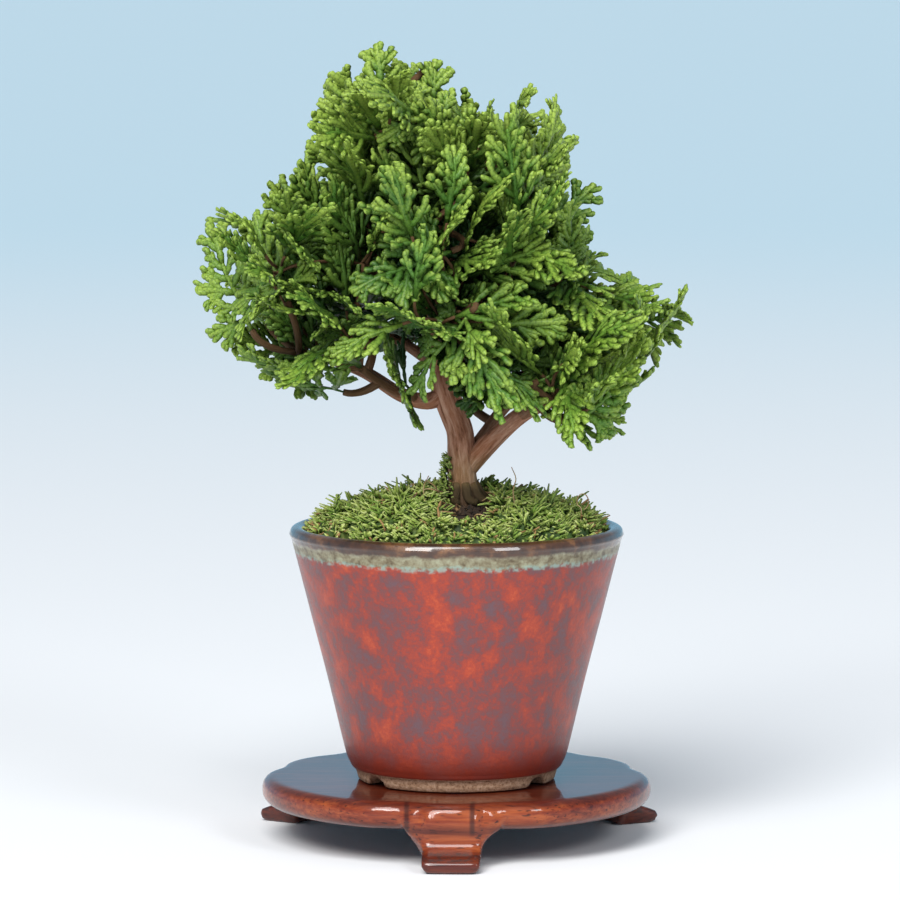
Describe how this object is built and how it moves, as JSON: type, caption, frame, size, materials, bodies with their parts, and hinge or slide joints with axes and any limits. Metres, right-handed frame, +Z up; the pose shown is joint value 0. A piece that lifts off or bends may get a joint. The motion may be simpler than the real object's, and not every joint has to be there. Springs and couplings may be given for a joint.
{
  "type": "potted hinoki cypress bonsai",
  "caption": "Small hinoki cypress with flat fan-like leaf sprays in a tapered round glazed pot with a notched foot, on a low three-legged carved wooden stand.",
  "frame": {"origin": "middle of the whole object's outline, at the height that the stand rests on", "axes": "+Z up along the trunk, -Y towards the viewer of the front"},
  "size_m": [0.1119, 0.0934, 0.1796],
  "materials": {
    "lacquered_wood": "red-brown lacquer over fine-grained wood, glossy",
    "glazed_ceramic": "mottled red and grey-violet glaze outside and over the lip, bare speckled clay on the foot",
    "plastic_net": "black plastic net",
    "soil": "dark granular soil",
    "moss": "short tufted moss, yellow-green",
    "bark": "fibrous reddish-brown bark",
    "scale_leaves": "flat shoots of green scale leaves with yellow-green tips"
  },
  "bodies": {
    "root": {"drain_mesh": "plastic_net", "moss": "moss", "pot": "glazed_ceramic", "soil": "soil", "spray_00": "scale_leaves", "spray_01": "scale_leaves", "spray_02": "scale_leaves", "spray_03": "scale_leaves", "spray_04": "scale_leaves", "spray_05": "scale_leaves", "spray_06": "scale_leaves", "spray_07": "scale_leaves", "spray_08": "scale_leaves", "spray_09": "scale_leaves", "spray_10": "scale_leaves", "spray_11": "scale_leaves", "spray_12": "scale_leaves", "spray_13": "scale_leaves", "spray_14": "scale_leaves", "spray_15": "scale_leaves", "spray_16": "scale_leaves", "spray_17": "scale_leaves", "spray_18": "scale_leaves", "spray_19": "scale_leaves", "spray_20": "scale_leaves", "spray_21": "scale_leaves", "spray_22": "scale_leaves", "spray_23": "scale_leaves", "spray_24": "scale_leaves", "spray_25": "scale_leaves", "spray_26": "scale_leaves", "spray_27": "scale_leaves", "spray_28": "scale_leaves", "spray_29": "scale_leaves", "spray_30": "scale_leaves", "spray_31": "scale_leaves", "spray_32": "scale_leaves", "spray_33": "scale_leaves", "spray_34": "scale_leaves", "spray_35": "scale_leaves", "spray_36": "scale_leaves", "spray_37": "scale_leaves", "spray_38": "scale_leaves", "spray_39": "scale_leaves", "spray_40": "scale_leaves", "spray_41": "scale_leaves", "spray_42": "scale_leaves", "spray_43": "scale_leaves", "spray_44": "scale_leaves", "spray_45": "scale_leaves", "spray_46": "scale_leaves", "spray_47": "scale_leaves", "spray_48": "scale_leaves", "spray_49": "scale_leaves", "spray_50": "scale_leaves", "spray_51": "scale_leaves", "spray_52": "scale_leaves", "stand": "lacquered_wood", "trunk_and_branches": "bark"}
  },
  "joints": []
}
